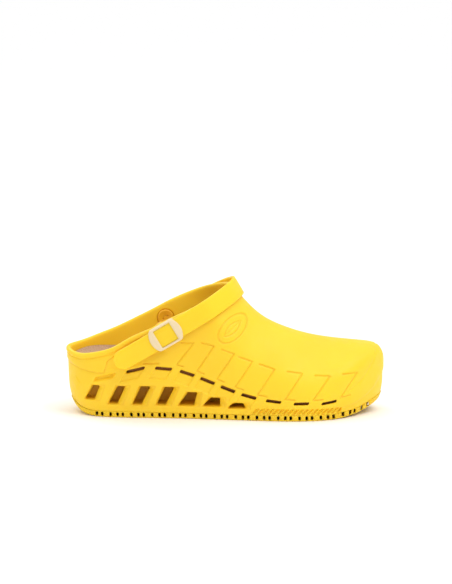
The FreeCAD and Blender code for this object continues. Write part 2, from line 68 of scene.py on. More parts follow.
LEVELS = [  # height, how far heel and toe stand in, tuck of the sides
    (-1, 8.5, 8, 3.2), (15, 2.8, 2, 0.4), (32, 0.8, 0.2, 0), (52, 0.3, 0.2, 0), (90, 1, 1.5, 0),
    (128, 1, 4, 0),
]
RIDGE = [  # x, height of the ridge, its side offset, sharpness of the arch
    (-150, 175, 0, 0.02), (-90, 165, 0, 0.024), (-51, 150, 0, 0.0255), (-20, 132, 0, 0.0245),
    (0, 117, 0, 0.0255), (12, 103.5, 0, 0.0265), (24, 90.3, 0.5, 0.0245), (35, 81.8, 1, 0.021),
    (50, 74.5, 2, 0.016), (70, 67.9, 4, 0.0135), (95, 63.4, 6, 0.0115), (118, 60.9, 7.5, 0.01),
    (130, 58.4, 8, 0.01), (138, 53, 8.5, 0.01), (150, 40, 9, 0.01),
]
RIM = [  # x, height of the collar's edge on the outer and on the inner side
    (-150, 61, 62), (-137, 57.5, 58.5), (-128, 55, 58.5), (-112, 56.5, 63), (-96, 61.2, 69),
    (-81, 70, 76), (-64, 78, 84.5), (-51, 85, 91.5), (-30, 95, 101), (-12, 104.5, 108),
    (5, 113.5, 113.8), (18, 121, 121), (60, 140, 140), (150, 170, 170),
]
DECK = [  # x, height of the wedge's top, on which the footbed lies
    (-150, 48), (-125, 44), (-104, 41.2), (-80, 40), (-60, 41), (-45, 39.5), (-30, 35.5), (-12, 29),
    (5, 22.5), (23, 17), (45, 13.5), (69, 12), (92, 12.5), (110, 14.5), (125, 18), (150, 27),
]
GROUND = [  # x, height of the tread's underside
    (-150, 24), (-136, 12), (-127, 4), (-119, 0.9), (-110, 0), (92, 0), (104, 1), (116, 3.2),
    (126, 7), (134, 11), (150, 17),
]


def spline(points, closed=False, count=900):
    """Dense points on the cubic spline through the given ones, run by chord length."""
    p = np.array(points, float)
    if closed:
        p = np.vstack([p[-3:], p, p[:4]])
    t = np.concatenate([[0], np.cumsum(np.linalg.norm(np.diff(p, axis=0), axis=1))])
    n = len(p)
    h = np.diff(t)
    a = np.eye(n)
    b = np.zeros_like(p)
    for i in range(1, n - 1):
        a[i, i - 1:i + 2] = h[i - 1], 2 * (h[i - 1] + h[i]), h[i]
        b[i] = 6 * ((p[i + 1] - p[i]) / h[i] - (p[i] - p[i - 1]) / h[i - 1])
    m = np.linalg.solve(a, b)
    low, high = (t[3], t[-4]) if closed else (t[0], t[-1])
    s = np.linspace(low, high, count)
    i = np.clip(np.searchsorted(t, s, "right") - 1, 0, n - 2)
    u, v, w = (t[i + 1] - s)[:, None], (s - t[i])[:, None], h[i][:, None]
    return (
        m[i] * u ** 3 / (6 * w) + m[i + 1] * v ** 3 / (6 * w)
        + (p[i] / w - m[i] * w / 6) * u + (p[i + 1] / w - m[i + 1] * w / 6) * v
    )


def reader(table, column=1):
    """A function of x that reads a table's column on a smooth curve."""
    line = spline([(row[0], row[column]) for row in table])
    return lambda x: np.interp(x, line[:, 0], line[:, 1])


heel_in, toe_in, tuck = (reader(LEVELS, i) for i in (1, 2, 3))
ridge, ridge_side, arch = (reader(RIDGE, i) for i in (1, 2, 3))
rim_outer, rim_inner = reader(RIM, 1), reader(RIM, 2)
deck = reader(DECK)


GROUND_LINE = spline(GROUND)
FLAT_BACK, FLAT_FRONT = -110, 92  # the tread lies on the ground between these


def ground(x):
    """Height of the tread's underside."""
    line = np.interp(x, GROUND_LINE[:, 0], GROUND_LINE[:, 1])
    return np.where((x > FLAT_BACK) & (x < FLAT_FRONT), 0.0, np.maximum(line, 0))


# ---------------------------------------------------------------- distances
class Chart:
    """Values on a plane grid, read between its points."""

    def __init__(self, low, high, step):
        self.low, self.step = low, step
        self.u = np.arange(low[0], high[0] + step, step)
        self.v = np.arange(low[1], high[1] + step, step)
        self.values = np.zeros((len(self.u), len(self.v)))

    def grid(self):
        return np.meshgrid(self.u, self.v, indexing="ij")

    def __call__(self, u, v):
        a = np.clip((u - self.low[0]) / self.step, 0, len(self.u) - 1.001)
        b = np.clip((v - self.low[1]) / self.step, 0, len(self.v) - 1.001)
        i, j = a.astype(int), b.astype(int)
        a, b = a - i, b - j
        f = self.values
        return (
            (f[i, j] * (1 - a) + f[i + 1, j] * a) * (1 - b)
            + (f[i, j + 1] * (1 - a) + f[i + 1, j + 1] * a) * b
        )


def to_line(u, v, points, closed=False):
    """Distance from grid points to a run of straight pieces."""
    best = np.full(u.shape, 1e9)
    pairs = list(zip(points, points[1:]))
    if closed:
        pairs.append((points[-1], points[0]))
    for (au, av), (bu, bv) in pairs:
        du, dv = bu - au, bv - av
        t = np.clip(((u - au) * du + (v - av) * dv) / (du * du + dv * dv + 1e-12), 0, 1)
        np.minimum(best, (u - au - t * du) ** 2 + (v - av - t * dv) ** 2, out=best)
    return np.sqrt(best)


def in_shape(u, v, points):
    """Signed distance to a closed shape, negative inside."""
    inside = np.zeros(u.shape, bool)
    for (au, av), (bu, bv) in zip(points, list(points[1:]) + [points[0]]):
        if av != bv:
            inside ^= ((v >= av) != (v >= bv)) & (u < au + (v - av) * (bu - au) / (bv - av))
    return np.where(inside, -1, 1) * to_line(u, v, points, closed=True)


def smin(a, b, k):
    """The lesser of two, rounded over a width k where they meet."""
    h = np.maximum(k - np.abs(a - b), 0) / k
    return np.minimum(a, b) - h * h * k / 4


def smax(a, b, k):
    """The greater of two, rounded over a width k where they meet."""
    return -smin(-a, -b, k)


def step_up(x, low, high):
    """0 below low, 1 above high, smooth between."""
    t = np.clip((x - low) / (high - low), 0, 1)
    return t * t * (3 - 2 * t)


def outline_chart(outer, inner):
    """Distance, seen from above, to the outline through two columns of STATIONS."""
    points = [(-HALF, 0)]
    points += [(-HALF + row[0] * 2 * HALF, -row[outer]) for row in STATIONS]
    points += [(HALF, TOE_SIDE)]
    points += [(-HALF + row[0] * 2 * HALF, row[inner]) for row in STATIONS[::-1]]
    line = spline(points, closed=True, count=420)[:-1]
    chart = Chart((-150, -66), (150, 66), 1.5)
    u, v = chart.grid()
    chart.values = in_shape(u, v, [tuple(p) for p in line])
    return chart


sole_outline, collar_outline = outline_chart(1, 2), outline_chart(3, 4)


def wall(x, y, z):
    """Distance to the upright walls."""
    heel, toe = heel_in(z), toe_in(z)
    along = (x + HALF - heel) / (2 * HALF - heel - toe)
    base = -HALF + along * 2 * HALF
    share = np.clip((z - SOLE_LEVEL) / (COLLAR_LEVEL - SOLE_LEVEL), 0, 1)
    low, high = sole_outline(base, y), collar_outline(base, y)
    return low + (high - low) * share + tuck(z)


def roof(x, y, z):
    """Distance to the arched roof."""
    d = y - ridge_side(x)
    sharp = arch(x)
    slope = ridge(x + 1) - ridge(x - 1)
    return (z - ridge(x) + sharp * d * d) / np.sqrt(1 + slope * slope / 4 + (2 * sharp * d) ** 2)


EDGE = 7.0  # how widely the walls round into the roof


def body(x, y, z):
    """Distance to the closed outer form, with its walls rounded into the roof."""
    return smax(wall(x, y, z), roof(x, y, z), EDGE)


def rim_gap(x, y, z):
    """Height over the collar's edge, positive above it."""
    share = step_up(y, -40, 40)
    edge = rim_outer(x) + (rim_inner(x) - rim_outer(x)) * share
    slope = rim_outer(x + 1) - rim_outer(x - 1)
    return (z - edge) / np.sqrt(1 + slope * slope / 4)


# ---------------------------------------------------------------- relief of the sides
FIRST_SLOT, SLOT_COUNT = -76.0, 9
LEAST_PITCH, HEEL_PITCH, TOE_PITCH = 17.4, 6.8, 6.2  # the slots crowd together at the waist
LEAST_LENGTH, HEEL_LENGTH = 12.6, 3.2
SLOT_LIFT, HEEL_DROP = 2.3, 1.9  # over the deck, and how much less at the heel
HEEL_TURN, TOE_TURN = 12.0, 5.0  # degrees that the end slots turn past the deck's own slope
SLOT_HEIGHT = 2.6
FIRST_WINDOW, WINDOW_PITCH, WINDOW_COUNT = -112.6, 20.7, 7
WINDOW_LOW, WINDOW_HIGH, WINDOW_LEAN = 12.4, 26.6, 0.48
LOW_END, LOW_SLOPE = -90, 0.16  # behind this x the lower edges rise
HIGH_END, HIGH_SLOPE = -52, 0.2  # in front of this x the upper edges fall
LEAST_HEIGHT = 2.6
LEAN = 0.62  # how far a slanted side leans to the toe for each unit of height
STROKE_TOP = 66.5  # the strokes stop under the strap
STROKE_BACK, STROKE_BACK_TOE = 6, 3.7  # how far a stroke's foot stands behind its slot, and more by the toe
STROKE_FOOT, STROKE_FOOT_TOE = 3, 1.1  # half the foot's length, and more by the toe
STROKE_LIFT, STROKE_LIFT_TOE = 5.2, 2.1  # height of the foot over the slots, and less by the toe
STROKE_RISE, STROKE_RISE_TOE = 25.6, 6.2  # from the foot to the top, and less by the toe
STROKE_LEAN, STROKE_LEAN_TOE = 4, 2.2  # how far forward the top starts, and less by the toe
STROKE_LENGTH, STROKE_LENGTH_TOE = 10.6, 2  # the top's length, and more by the toe
TOP_LAG = 18  # the top slopes like the row of slots so far behind it
SPREAD = 8  # the deck's slope is taken over so much to each side


def near_heel(x):
    """1 at the heel, 0 from the waist on."""
    return 1 - step_up(x, -80, -30)


def near_toe(x):
    """0 behind the waist, 1 over the forefoot."""
    return step_up(x, -5, 42)


def row_height(x):
    """Middle of the row of slots."""
    return float(deck(x)) + SLOT_HEIGHT / 2 + SLOT_LIFT - HEEL_DROP * near_heel(x)


def row_slope(x):
    """Rise of the row for each unit forward."""
    return (row_height(x + SPREAD) - row_height(x - SPREAD)) / (2 * SPREAD)


def stations():
    """Middle of each slot, and of one more place by the toe where only a stroke stands."""
    places = [FIRST_SLOT]
    while len(places) <= SLOT_COUNT:
        x = places[-1]
        places.append(x + LEAST_PITCH + HEEL_PITCH * near_heel(x) + TOE_PITCH * near_toe(x))
    return places


def slot_at(x):
    """Middle x and z, length, and slope in degrees of the slot at x."""
    slope = math.degrees(math.atan((float(deck(x + SPREAD)) - float(deck(x - SPREAD))) / (2 * SPREAD)))
    slope += HEEL_TURN * near_heel(x) ** 2 + TOE_TURN * step_up(x, 42, 85)
    return x, row_height(x), LEAST_LENGTH + HEEL_LENGTH * near_heel(x), slope


def stroke_at(x):
    """An open stroke in front of the slot at x: along the top, back down, and along the foot."""
    middle = x - STROKE_BACK - STROKE_BACK_TOE * near_toe(x)
    half = STROKE_FOOT + STROKE_FOOT_TOE * near_toe(x)
    foot = row_height(middle) + STROKE_LIFT - STROKE_LIFT_TOE * near_toe(middle)
    fall = row_slope(middle) * half
    start = (middle - half, foot - fall)
    rise = STROKE_RISE - STROKE_RISE_TOE * step_up(middle, 20, 95)
    top_x, top_z = start[0] + STROKE_LEAN - STROKE_LEAN_TOE * near_toe(x), min(start[1] + rise, STROKE_TOP)
    length = STROKE_LENGTH + STROKE_LENGTH_TOE * near_toe(x)
    top_end = min(top_z + row_slope(top_x - TOP_LAG) * length, STROKE_TOP)
    return [(top_x, top_z), (top_x + length, top_end), start, (middle + half, foot + fall)]


def window_at(x):
    """Corners of the window at x; the row rises at the heel and tapers to the waist."""
    high = WINDOW_HIGH - HIGH_SLOPE * max(0.0, x - HIGH_END)
    low = min(WINDOW_LOW + LOW_SLOPE * max(0.0, LOW_END - x), high - LEAST_HEIGHT)
    foot = 3 + 2.9 * step_up(x, -48, -24)
    head = 2.1 + 1.2 * step_up(x, -105, -70)
    lean = WINDOW_LEAN * (high - low) / 2
    return [(x - lean - foot, low), (x - lean + foot, low), (x + lean + head, high), (x + lean - head, high)]


def slanted(x, z, length, height, slope):
    """Corners of a slanted box whose ends lean to the toe."""
    a = math.radians(slope)
    along, up = np.array([math.cos(a), math.sin(a)]) * length / 2, np.array([LEAN, 1.0]) * height / 2
    middle = np.array([x, z])
    return [tuple(middle + s * along + t * up) for s, t in ((-1, -1), (1, -1), (1, 1), (-1, 1))]


SLOTS = [slot_at(x) for x in stations()[:SLOT_COUNT]]
STROKES = [stroke_at(x) for x in stations()[2:]]
WINDOWS = [window_at(FIRST_WINDOW + WINDOW_PITCH * i) for i in range(WINDOW_COUNT)]
SHORT_STROKE = [(-69, 47.8), (-56, 48.3)]
# the step over the heel falls in a long curve, then climbs to the collar
STEP_X, STEP_Z, STEP_BEND = -104, 39, 0.0073
HEEL_STEP = [(x, STEP_Z + STEP_BEND * (x - STEP_X) ** 2) for x in range(-142, -102, 3)]
HEEL_STEP += [(-100, 49), (-95, 53), (-90, 56), (-60, 70)]
TOE_X, TOE_Z, TOE_RADIUS = 85, 66, 46.3  # the line round the toe is an arc
TOE_LINE = [
    (TOE_X + TOE_RADIUS * math.cos(math.radians(a)), TOE_Z - TOE_RADIUS * math.sin(math.radians(a)))
    for a in range(8, 64, 5)
]
BAND_X, BAND_Z, BAND_BEND = 98, 10.4, 0.015
TOE_BAND = [(x, BAND_Z + BAND_BEND * (x - BAND_X) ** 2) for x in range(BAND_X, 129, 5)]
WINDOW_CORNER, FRAME_CORNER, SLOT_CORNER = 0.8, 0.6, 0.7  # radii of the rounded corners
FRAME_BACK, FRAME_FRONT, FRAME_RISE = 1.6, 5.0, 1.2  # how far a window's frame reaches past it
BEVEL_DEPTH = 4.5  # how far in the bevel runs from frame to window
STRIP = (24.0, 99.5)  # the ribbed strip along the forefoot
STRIP_HEIGHT = 5.6
RIB_PITCH = 4.2
PANEL_BACK, PANEL_DROP, PANEL_LONGER, PANEL_HEIGHT = 2.3, 3.4, 0.6, 10.5  # the panels under the slots
LINE_DEPTH, LINE_HALF = 1.0, 0.55  # the strokes
TOE_LINE_DEPTH, TOE_LINE_HALF = 0.45, 0.7
STEP_DEPTH, PANEL_DEPTH, BAND_DEPTH, POCKET_DEPTH, DIAMOND_RISE = 0.9, 1.1, 0.8, 2.8, 0.7
POCKET = slanted(-102.5, 35, 17, 3.6, 14)
DIAMOND = [(-132.6, 28.5), (-128, 34.5), (-123.4, 28.5), (-128, 22.5)]
EMBLEM = (6.8, 77.6)  # middle of the oval on each side of the instep
EMBLEM_TILT = 40
OVAL_LONG, OVAL_SHORT = 14.2, 8.7
LEAF_LONG, LEAF_SHORT = 9.0, 3.6

relief = Chart((-142, -4), (142, 124), 0.5)
strokes = Chart((-142, -4), (142, 124), 0.5)
crease_shade_chart = Chart((-142, -4), (142, 124), 0.5)
windows = Chart((-142, -4), (142, 60), 0.5)
frames = Chart((-142, -4), (142, 60), 0.5)
slots = Chart((-142, -4), (142, 60), 0.5)


def draw_relief():
    """Depths pressed into the sides, in mm; the strokes chart keeps the distance to a fine line."""
    x, z = relief.grid()
    near = np.full(x.shape, 50.0)
    line = np.full(x.shape, 50.0)
    depth = np.zeros(x.shape)
    fine = STROKES + [SHORT_STROKE]
    for run in fine:
        d = to_line(x, z, run)
        near = np.minimum(near, d)
        line = np.minimum(line, d)
        depth += LINE_DEPTH * np.exp(-(d / LINE_HALF) ** 2)
    d = to_line(x, z, TOE_LINE)
    near = np.minimum(near, d)
    depth += TOE_LINE_DEPTH * np.exp(-(d / TOE_LINE_HALF) ** 2)
    d = to_line(x, z, HEEL_STEP)
    near = np.minimum(near, d)
    line = np.minimum(line, d + 50 * step_up(x, -92, -80))
    below = in_shape(x, z, HEEL_STEP + [(-45, 58), (-45, 30), (-60, -20), (-142, -20)])
    fade = 1 - step_up(x, -82, -50)
    depth += (STEP_DEPTH * step_up(-below, -0.4, 0.5) + 0.5 * np.exp(-(d / 0.5) ** 2)) * fade
    scoop = in_shape(x, z, [(-101, 43), (-97, 52), (-60, 72), (-48, 58), (-70, 46), (-88, 43)])
    depth += 1.0 * step_up(-scoop, -1.0, 4)
    band = in_shape(x, z, TOE_BAND + [(140, 40), (145, 60), (145, -20), (98, -20)])
    near = np.minimum(near, to_line(x, z, TOE_BAND))
    depth += BAND_DEPTH * step_up(-band, -0.7, 0.7)
    # shallow panels hang under the slots and lean like the windows
    for sx, sz, length, slope in SLOTS[:6]:
        middle = sx - PANEL_BACK, sz - PANEL_DROP
        panel = in_shape(x, z, slanted(*middle, length + PANEL_LONGER, PANEL_HEIGHT, slope))
        depth += PANEL_DEPTH * step_up(-panel, -0.7, 0.6)
        near = np.minimum(near, np.abs(panel) + 0.5)
    pocket = in_shape(x, z, POCKET)
    depth += POCKET_DEPTH * step_up(-pocket, -1.0, 1.0)
    near = np.minimum(near, np.abs(pocket) + 0.4)
    diamond = in_shape(x, z, DIAMOND)
    depth -= DIAMOND_RISE * step_up(-diamond, -0.5, 1.4)
    strip_top = ground(x) + TREAD + STRIP_HEIGHT
    strip = np.maximum.reduce([
        STRIP[0] + 1.1 * (z - 8) - x, x - STRIP[1], z - strip_top, ground(x) + TREAD + 0.8 - z,
    ])
    wave = (x - 0.95 * z) / RIB_PITCH
    rib = np.abs(wave - np.round(wave)) * 2
    depth += step_up(-strip, -0.4, 0.5) * (0.8 + 1.8 * step_up(rib, 0.25, 0.75))
    near = np.minimum(near, np.maximum(strip, 0) + 0.6)
    # a plain oval with a leaf in it
    a = math.radians(EMBLEM_TILT)
    u = (x - EMBLEM[0]) * math.cos(a) + (z - EMBLEM[1]) * math.sin(a)
    v = (z - EMBLEM[1]) * math.cos(a) - (x - EMBLEM[0]) * math.sin(a)
    oval = (np.hypot(u / OVAL_LONG, v / OVAL_SHORT) - 1) * 10
    leaf = np.abs(v) - LEAF_SHORT * (1 - (u / LEAF_LONG) ** 2)
    depth += 0.8 * np.exp(-(oval / 0.6) ** 2)
    depth += 0.7 * np.exp(-(leaf / 0.6) ** 2) * (np.abs(u) < 9.4)
    depth += 0.6 * np.exp(-(v / 0.5) ** 2) * (np.abs(u) < 6.5)
    line = np.minimum(line, np.maximum(np.abs(oval) - 0.1, 0) + 0.15)
    line = np.minimum(line, np.where(np.abs(u) < 9.4, np.abs(leaf) + 0.3, 50))
    near = np.minimum(near, np.maximum(oval, 0) + 0.4)
    edges = np.abs(in_frames(x, z))
    near = np.minimum(near, edges + 0.3)
    relief.values, strokes.values = depth, near
    # painted shade along the strokes, the emblem, the heel step and the edges of the windows' frames
    crease_shade_chart.values = np.maximum(np.exp(-(line / LINE_HALF) ** 2), 0.9 * np.exp(-(edges / 0.6) ** 2))


def in_frames(x, z):
    """Signed distance to the bevelled frames round the windows."""
    wide = [
        [(a[0] - FRAME_BACK, a[1] - 0.6), (b[0] + FRAME_FRONT, b[1] - 0.6),
         (c[0] + FRAME_FRONT, c[1] + FRAME_RISE), (d[0] - FRAME_BACK, d[1] + FRAME_RISE)]
        for a, b, c, d in WINDOWS
    ]
    return np.minimum.reduce([in_shape(x, z, w) for w in wide]) - FRAME_CORNER


def draw_openings():
    """Fills the charts of the windows, their frames and the slots."""
    x, z = windows.grid()
    windows.values = np.minimum.reduce([in_shape(x, z, w) for w in WINDOWS]) - WINDOW_CORNER
    frames.values = in_frames(x, z)
    x, z = slots.grid()
    round_off = 2 * SLOT_CORNER
    boxes = [
        slanted(sx, sz, length - round_off, SLOT_HEIGHT - round_off, slope) for sx, sz, length, slope in SLOTS
    ]
    slots.values = np.minimum.reduce([in_shape(x, z, b) for b in boxes]) - SLOT_CORNER


draw_relief()
draw_openings()

# ---------------------------------------------------------------- pivots
PIVOT = (-53.0, 76.5)
BUCKLE = (-49.5, 74.0)  # the middle of the buckle, where the strap's own frame starts
BOSS_FACE, BOSS_BACK, BOSS_RADIUS = 40.0, 34.6, 6.1
BUTTON_RADIUS, PIN_RADIUS = 7.0, 3.0
WEB = 15.0  # the windows reach in as far as this from the middle line
BUTTON_GAP = 0.5


RIM_ROUND = 3.4
BEAD_RISE, BEAD_END = 0.7, 12  # the rolled edge of the collar, as far forward as this x
BEAD_LINE, BEAD_LINE_DEPTH, BEAD_LINE_HALF = 4.9, 0.6, 0.6  # the groove that sets it off, below the edge


def moulding(x, y, z):
    """The shell and the openwork wedge under it, one soft moulding."""
    base = body(x, y, z)
    lip = rim_gap(x, y, z)
    groove = BEAD_LINE_DEPTH * np.exp(-((lip + BEAD_LINE) / BEAD_LINE_HALF) ** 2)
    bead = BEAD_RISE * step_up(lip, -4.6, -3.4) - groove
    outer = base + relief(x, z) - bead * (x < BEAD_END)
    floor = deck(x)
    hollow = smax(base + WALL, floor - z, 2.0)
    skin = smax(outer, -hollow, 0.6)
    skin = smax(skin, lip, RIM_ROUND)
    ring = np.hypot(x - PIVOT[0], z - PIVOT[1])
    side = np.abs(y)
    boss = np.maximum.reduce([ring - BOSS_RADIUS, side - BOSS_FACE, BOSS_BACK - side])
    skin = smin(skin, boss, 1.6)
    skin = np.maximum(skin, -np.maximum(ring - PIN_RADIUS, 30 - side))
    skin = np.maximum(skin, -np.maximum(ring - BUTTON_RADIUS - BUTTON_GAP, side - BOSS_BACK))
    skin = smax(skin, -slots(x, z), 1.0)
    near = np.clip((base + BEVEL_DEPTH) / BEVEL_DEPTH, 0, 1)
    mouth = windows(x, z) + (frames(x, z) - windows(x, z)) * near
    skin = smax(skin, -np.maximum(mouth, WEB - side), 0.8)
    return smax(skin, ground(x) + TREAD - z, 0.4)


NOTCH_FIRST, NOTCH_GROUP = -116.9, 18.1
NOTCH_OFFSETS = (0.0, 6.1, 10.7)
NOTCH_WIDTH, NOTCH_DEPTH = 2.2, 4.7
NOTCH_MIDDLE, NOTCH_REACH = 7, 119  # the sipes lie so far to each side of this x
RAIL_IN, RAIL_HALF, RAIL_DEPTH = 15, 1.0, 2.2  # the groove that runs round inside the rim


def outsole_field(x, y, z):
    """The tread: a band under the wedge, cut across by sipes in groups of three."""
    low = ground(x)
    base = smax(wall(x, y, z) + 0.15, z - low - TREAD, 0.4)
    base = smax(base, low - z, 1.2)
    bend = 1.6 * np.sin(y / 7.0) * step_up(48 - np.abs(y), 6, 22)
    place = (x - bend - NOTCH_FIRST) % NOTCH_GROUP
    cut = np.full(x.shape, 50.0)
    for offset in NOTCH_OFFSETS:
        gap = np.abs(place - offset)
        cut = np.minimum(cut, np.minimum(gap, NOTCH_GROUP - gap))
    shut = 1.2 - 3.0 * step_up(-wall(x, y, z), 3.0, 4.0)  # the rim stays closed along the ground
    cut = np.maximum.reduce([cut - NOTCH_WIDTH / 2, z - low - NOTCH_DEPTH, low + shut - z])
    cut = np.maximum(cut, np.abs(x - NOTCH_MIDDLE) - NOTCH_REACH)
    rail = np.abs(wall(x, y, z) + RAIL_IN) - RAIL_HALF
    rail = np.maximum(rail, z - low - RAIL_DEPTH)
    return smax(smax(base, -cut, 0.5), -rail, 0.7)


# ---------------------------------------------------------------- skin of a distance
def net(field, low, high, step):
    """Quads round the zero of a field, one vertex for each grid cell that it crosses."""
    axes = [np.arange(a, b + step, step) for a, b in zip(low, high)]
    size = [len(a) for a in axes]
    values = np.empty(size)
    for i, x in enumerate(axes[0]):
        y, z = np.meshgrid(axes[1], axes[2], indexing="ij")
        values[i] = field(np.full(y.shape, x), y, z)
    inside = values < 0
    corners = [(i, j, k) for i in (0, 1) for j in (0, 1) for k in (0, 1)]

    def corner(array, c):
        return array[tuple(slice(o, n - 1 + o) for o, n in zip(c, size))]

    full = sum(corner(inside, c).astype(int) for c in corners)
    active = (full > 0) & (full < 8)
    number = np.full(active.shape, -1)
    count = int(active.sum())
    number[active] = np.arange(count)
    total, hits = np.zeros((count, 3)), np.zeros(count)
    for a in corners:
        for axis in range(3):
            if a[axis]:
                continue
            b = tuple(1 if i == axis else c for i, c in enumerate(a))
            fa, fb = corner(values, a)[active], corner(values, b)[active]
            crossed = (fa < 0) != (fb < 0)
            t = fa[crossed] / (fa[crossed] - fb[crossed])
            point = np.tile(np.array(a, float), (len(t), 1))
            point[:, axis] += t
            total[crossed] += point
            hits[crossed] += 1
    cells = np.argwhere(active)
    points = np.array([a[0] for a in axes]) + step * (cells + total / hits[:, None])
    quads = []
    for axis in range(3):
        one, two = (axis + 1) % 3, (axis + 2) % 3
        ahead = [slice(None)] * 3
        behind = [slice(None)] * 3
        ahead[axis], behind[axis] = slice(1, None), slice(None, -1)
        here, there = inside[tuple(behind)], inside[tuple(ahead)]
        for out in (True, False):
            edge = (here & ~there) if out else (~here & there)
            places = np.argwhere(edge)
            good = np.ones(len(places), bool)
            for a in (one, two):
                good &= (places[:, a] > 0) & (places[:, a] < size[a] - 1)
            places = places[good]
            ring = []
            for d_one, d_two in ((1, 1), (0, 1), (0, 0), (1, 0)):
                c = places.copy()
                c[:, one] -= d_one
                c[:, two] -= d_two
                ring.append(number[c[:, 0], c[:, 1], c[:, 2]])
            quad = np.stack(ring, axis=1)
            quads.append(quad if out else quad[:, ::-1])
    return points, np.vstack(quads)


def slope_of(field, p, reach=0.12):
    """Slope of a field at each point, along the three axes."""
    out = np.empty_like(p)
    for axis in range(3):
        d = np.zeros(3)
        d[axis] = reach
        out[:, axis] = (field(*(p + d).T) - field(*(p - d).T)) / (2 * reach)
    return out


def settle(field, p, step, rounds=3):
    """Moves points onto the zero of the field."""
    for _ in range(rounds):
        g = slope_of(field, p)
        square = np.maximum((g * g).sum(axis=1), 0.3)
        move = np.clip(field(*p.T) / square, -0.5 * step, 0.5 * step)
        p = p - g * move[:, None]
    return p


BEND_LIMIT = 0.955  # a face bends sharply if a corner's normal leans off the mean by more than this cosine


def refine(mesh, field, step, reach):
    """Splits the faces that bend sharply or lie within reach of a stroke, and settles the new points."""
    work = bmesh.new()
    work.from_mesh(mesh)
    p = np.empty(len(mesh.vertices) * 3)
    mesh.vertices.foreach_get("co", p)
    p = p.reshape(-1, 3) / MM
    normal = slope_of(field, p)
    normal /= np.linalg.norm(normal, axis=1)[:, None] + 1e-9
    chosen = strokes(p[:, 0], p[:, 2]) < reach
    edges = set()
    for face in work.faces:
        ids = [v.index for v in face.verts]
        n = normal[ids]
        if chosen[ids].any() or (n @ n.mean(axis=0)).min() < BEND_LIMIT:
            edges.update(face.edges)
    bmesh.ops.subdivide_edges(work, edges=list(edges), cuts=1, use_grid_fill=True)
    work.to_mesh(mesh)
    work.free()
    p = np.empty(len(mesh.vertices) * 3)
    mesh.vertices.foreach_get("co", p)
    p = settle(field, p.reshape(-1, 3) / MM, step)
    mesh.vertices.foreach_set("co", (p * MM).ravel())


def piece(name, field, low, high, step, material, rides, stands_for, slot, passes=0, fine=(), turn=None):
    """Makes an object round a field, and gives it to a body in place of its CAD nodes."""
    points, quads = net(field, low, high, step)
    points = settle(field, points, step)
    mesh = bpy.data.meshes.new(name)
    mesh.from_pydata((points * MM).tolist(), [], quads.tolist())
    for i in range(passes):
        refine(mesh, field, step / 2 ** (i + 1), fine[i])
    if turn is not None:
        p = np.empty(len(mesh.vertices) * 3)
        mesh.vertices.foreach_get("co", p)
        mesh.vertices.foreach_set("co", turn(p.reshape(-1, 3) / MM).ravel() * MM)
    mesh.polygons.foreach_set("use_smooth", [True] * len(mesh.polygons))
    mesh.materials.append(material)
    mesh.update()
    made = bpy.data.objects.new(name, mesh)
    bpy.context.scene.collection.objects.link(made)
    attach(made, rides)
    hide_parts(*stands_for)
    print(name, len(mesh.polygons), "faces")
    return made


# ---------------------------------------------------------------- materials
class Nodes:
    """A short way to write a node tree."""

    def __init__(self, material):
        material.use_nodes = True
        self.tree = material.node_tree
        self.tree.nodes.clear()
        self.place = self.new("ShaderNodeTexCoord").outputs["Object"]

    def new(self, kind, **values):
        node = self.tree.nodes.new(kind)
        for key, value in values.items():
            if hasattr(node, key):
                setattr(node, key, value)
            else:
                self.set(node, key.replace("_", " "), value)
        return node

    def set(self, node, socket, value):
        target = node.inputs[socket]
        if isinstance(value, bpy.types.NodeSocket):
            self.tree.links.new(value, target)
        else:
            target.default_value = value

    def noise(self, scale, detail=3.0, rough=0.5):
        node = self.new("ShaderNodeTexNoise", Vector=self.place, Scale=scale, Detail=detail, Roughness=rough)
        return node.outputs["Fac"]

    def ramp(self, value, stops):
        node = self.new("ShaderNodeValToRGB", Fac=value)
        while len(node.color_ramp.elements) < len(stops):
            node.color_ramp.elements.new(0.5)
        for element, (at, colour) in zip(node.color_ramp.elements, stops):
            element.position = at
            element.color = (*colour, 1)
        return node.outputs["Color"]

    def mix(self, share, a, b):
        node = self.new("ShaderNodeMix", data_type="RGBA")
        for socket, value in ((0, share), (6, a), (7, b)):
            if isinstance(value, bpy.types.NodeSocket):
                self.tree.links.new(value, node.inputs[socket])
            else:
                node.inputs[socket].default_value = value if socket == 0 else (*value, 1)
        return node.outputs[2]

    def maths(self, operation, a, b):
        node = self.new("ShaderNodeMath", operation=operation)
        for i, value in enumerate((a, b)):
            if isinstance(value, bpy.types.NodeSocket):
                self.tree.links.new(value, node.inputs[i])
            else:
                node.inputs[i].default_value = value
        return node.outputs[0]

    def bump(self, height, distance, strength=1.0, under=None):
        node = self.new("ShaderNodeBump", Height=height, Distance=distance, Strength=strength)
        if under is not None:
            self.set(node, "Normal", under)
        return node.outputs["Normal"]

    def finish(self, **values):
        shader = self.new("ShaderNodeBsdfPrincipled")
        for key, value in values.items():
            self.set(shader, key.replace("_", " "), value)
        out = self.new("ShaderNodeOutputMaterial")
        self.tree.links.new(shader.outputs[0], out.inputs[0])


def scaled(colour, factor):
    return tuple(c * factor for c in colour)


